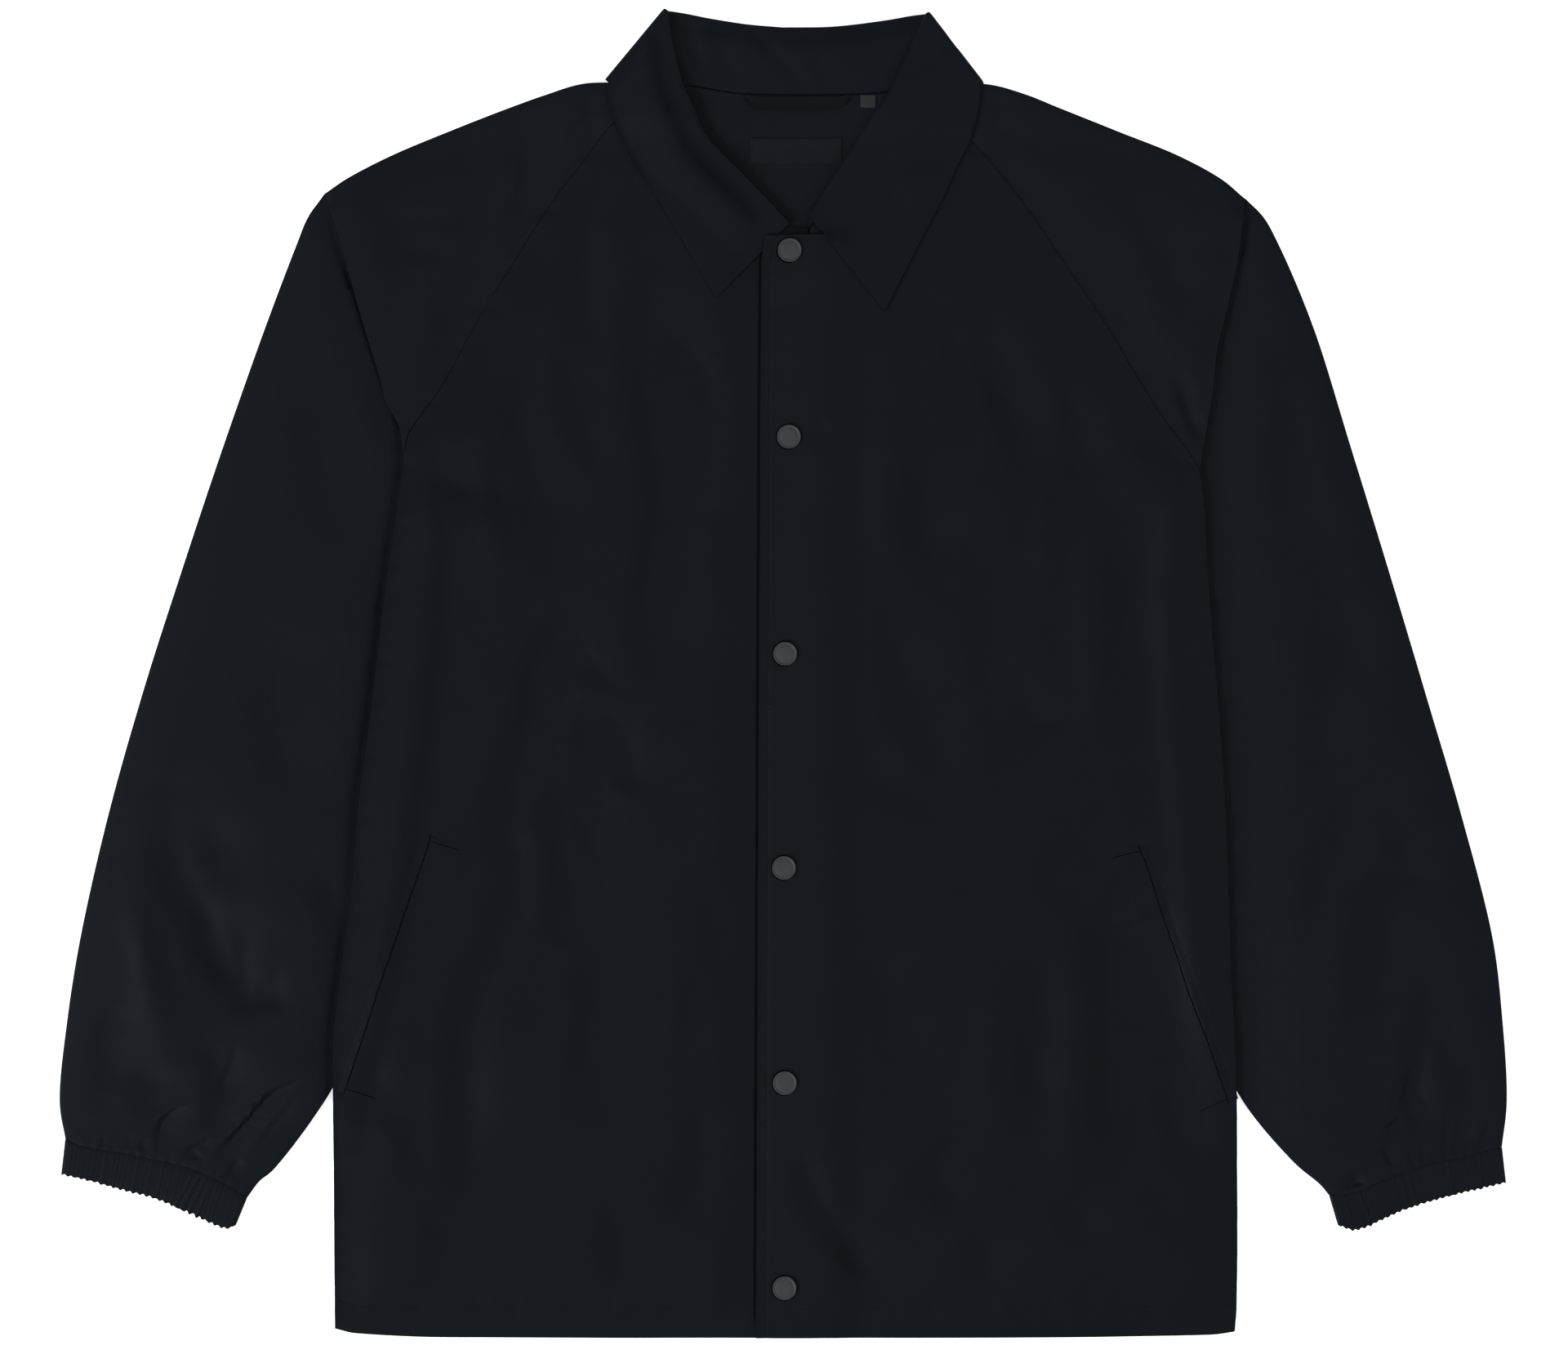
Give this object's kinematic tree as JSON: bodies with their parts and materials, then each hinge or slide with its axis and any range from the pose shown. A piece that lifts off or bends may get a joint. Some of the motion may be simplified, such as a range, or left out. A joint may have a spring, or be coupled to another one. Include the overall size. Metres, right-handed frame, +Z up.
{
  "type": "snap-front coach jacket, laid flat",
  "caption": "Thin cloth jacket lying flat, front up, with a shirt collar, raglan sleeves, gathered cuffs, slanted welt pockets and a snap front.",
  "frame": {"origin": "on the surface that the jacket lies on, under the middle of its outline", "axes": "+X to the viewer's right (the wearer's left), +Y towards the collar, +Z up from the surface"},
  "size_m": [0.8861, 0.8141, 0.0113],
  "materials": {
    "shell_cloth": "matte plain weave",
    "snap_cap": "matte",
    "woven_tape": "fine twill tape"
  },
  "bodies": {
    "root": {"back_panel": "shell_cloth", "right_front": "shell_cloth", "left_front": "shell_cloth", "right_sleeve_front": "shell_cloth", "right_sleeve_back": "shell_cloth", "left_sleeve_front": "shell_cloth", "left_sleeve_back": "shell_cloth", "right_cuff_front": "shell_cloth", "right_cuff_back": "shell_cloth", "left_cuff_front": "shell_cloth", "left_cuff_back": "shell_cloth", "right_pocket_welt": "shell_cloth", "left_pocket_welt": "shell_cloth", "collar": "shell_cloth", "hanger_loop": "woven_tape", "neck_label": "woven_tape", "size_label": "woven_tape", "snap_1": "snap_cap", "snap_2": "snap_cap", "snap_3": "snap_cap", "snap_4": "snap_cap", "snap_5": "snap_cap", "snap_6": "snap_cap"}
  },
  "joints": []
}
